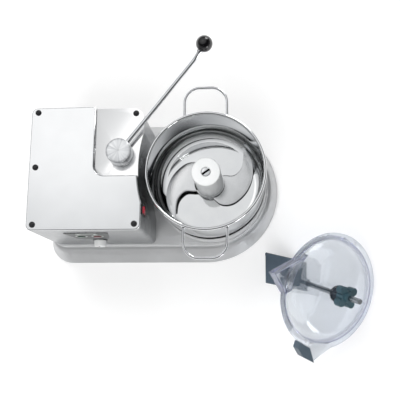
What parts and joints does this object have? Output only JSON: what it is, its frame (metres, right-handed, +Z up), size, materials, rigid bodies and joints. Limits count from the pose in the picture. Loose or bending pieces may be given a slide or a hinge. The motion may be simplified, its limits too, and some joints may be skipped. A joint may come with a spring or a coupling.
{
  "type": "bowl cutter",
  "caption": "Tabletop bowl cutter with a lift-out chopping bowl, curved blades on a spindle, a belt drive, a swing lever and a clear lid with a hand scraper.",
  "frame": {"origin": "on the spindle's axis, at the level of the feet's soles", "axes": "+Z up along the spindle; +X from the motor housing towards the bowl; +Y to the back, away from the control panel"},
  "size_m": [0.7386, 0.6532, 0.294],
  "materials": {
    "satin_cast": "satin",
    "cover_sheet": "satin brushed",
    "plate_steel": "satin",
    "fastener": "satin",
    "foot_rubber": "matte",
    "seal_rubber": "matte",
    "cap_plastic": "matte",
    "turned_metal": "turned",
    "bush_brass": "satin",
    "post_steel": "ground",
    "rod_chrome": "polished",
    "ball_black": "gloss",
    "bowl_polished": "polished",
    "blade_steel": "ground",
    "hub_white": "satin",
    "spindle_iron": "machined",
    "pulley_metal": "satin",
    "belt_rubber": "matte",
    "motor_paint": "satin",
    "fan_plastic": "matte",
    "panel_dark": "satin",
    "button_green": "gloss",
    "button_red": "gloss",
    "switch_black": "matte",
    "knob_metal": "satin",
    "rocker_red": "gloss",
    "board_green": "satin",
    "capacitor_can": "satin",
    "lid_clear": "clear",
    "block_blue": "satin",
    "knob_teal": "satin",
    "bush_dark": "satin"
  },
  "bodies": {
    "machine": {"base_casting": "satin_cast", "base_plate": "plate_steel", "base_screws": "fastener", "feet": "foot_rubber", "bowl_seat_ring": "seal_rubber", "housing_shell": "satin_cast", "housing_bolts": "fastener", "top_cover": "cover_sheet", "cover_screws": "fastener", "screw_caps": "cap_plastic", "pivot_tower": "pulley_metal", "pivot_bush": "bush_brass", "lever_sensor": "switch_black", "spindle_housing": "spindle_iron", "spindle_bolts": "fastener", "spindle_bearings": "post_steel", "shaft_seal": "seal_rubber", "drive_belt": "belt_rubber", "motor_plate": "plate_steel", "motor_bolts": "fastener", "motor_body": "motor_paint", "fan_cover": "motor_paint", "front_panel": "panel_dark", "button_switches": "switch_black", "speed_dial": "switch_black", "speed_potentiometer": "plate_steel", "power_switch_frame": "switch_black", "circuit_board": "board_green", "motor_capacitor": "capacitor_can", "lid_sensor": "switch_black", "cable_gland": "switch_black"},
    "lever": {"pivot_post": "post_steel", "post_ring": "fastener", "lever_magnet": "spindle_iron", "pivot_cap": "turned_metal", "lever_rod": "rod_chrome", "lever_ball": "ball_black"},
    "bowl_unit": {"bowl": "bowl_polished", "bowl_handles": "rod_chrome"},
    "blade_unit": {"blade_hub": "hub_white", "upper_blade": "blade_steel", "blade_spacer": "hub_white", "lower_blade": "blade_steel", "blade_nut": "hub_white", "hub_screw": "rod_chrome"},
    "motor_rotor": {"motor_shaft": "post_steel", "motor_fan": "fan_plastic", "motor_pulley": "pulley_metal"},
    "spindle_unit": {"spindle": "post_steel", "spindle_pulley": "pulley_metal"},
    "start_button": {"start_button": "button_green"},
    "stop_button": {"stop_button": "button_red"},
    "speed_knob": {"speed_knob": "knob_metal"},
    "power_rocker": {"power_rocker": "rocker_red"},
    "lid_unit": {"lid": "lid_clear", "lid_magnet_block": "block_blue", "lid_bush": "bush_dark"},
    "scraper_grip": {"scraper_knob": "knob_teal"},
    "scraper": {"scraper_rod": "rod_chrome", "scraper_paddle": "block_blue"}
  },
  "joints": [
    {"name": "lever_swing", "type": "hinge", "parent": "machine", "child": "lever", "pos_m": [-0.171, 0.033, 0], "axis": [0, 0, 1], "range_deg": [-55, 12]},
    {"name": "bowl_lift", "type": "slide", "parent": "machine", "child": "bowl_unit", "axis": [0, 0, 1], "range_m": [0, 0.22]},
    {"name": "blade_spin", "type": "hinge", "parent": "bowl_unit", "child": "blade_unit", "pos_m": [0, 0, 0], "axis": [0, 0, 1], "continuous": true},
    {"name": "motor_spin", "type": "hinge", "parent": "machine", "child": "motor_rotor", "pos_m": [-0.265, 0, 0], "axis": [0, 0, 1], "continuous": true},
    {"name": "spindle_spin", "type": "hinge", "parent": "machine", "child": "spindle_unit", "pos_m": [0, 0, 0], "axis": [0, 0, 1], "continuous": true},
    {"name": "start_push", "type": "slide", "parent": "machine", "child": "start_button", "axis": [0, 1, 0], "range_m": [0, 0.002], "stiffness_N_per_m": 500, "springref_m": -0.002},
    {"name": "stop_push", "type": "slide", "parent": "machine", "child": "stop_button", "axis": [0, 1, 0], "range_m": [0, 0.002], "stiffness_N_per_m": 500, "springref_m": -0.002},
    {"name": "speed_turn", "type": "hinge", "parent": "machine", "child": "speed_knob", "pos_m": [-0.236, -0.1255, 0.129], "axis": [0, 1, 0], "range_deg": [-135, 135]},
    {"name": "power_rock", "type": "hinge", "parent": "machine", "child": "power_rocker", "pos_m": [-0.125, -0.083, 0.231], "axis": [0, -1, 0], "range_deg": [0, 16]},
    {"name": "lid_lift", "type": "slide", "parent": "machine", "child": "lid_unit", "axis": [0, 0, 1], "range_m": [0, 0.25]},
    {"name": "scraper_turn", "type": "hinge", "parent": "lid_unit", "child": "scraper_grip", "pos_m": [0.2528, -0.2322, 0.07921], "axis": [0.5583, -0.2784, 0.7815], "continuous": true},
    {"name": "scraper_slide", "type": "slide", "parent": "scraper_grip", "child": "scraper", "axis": [0.5583, -0.2784, 0.7815], "range_m": [0, 0.065]}
  ],
  "couplings": [
    {"joint": "spindle_spin", "follows": "motor_spin", "ratio": 0.66667},
    {"joint": "blade_spin", "follows": "motor_spin", "ratio": 0.66667}
  ]
}
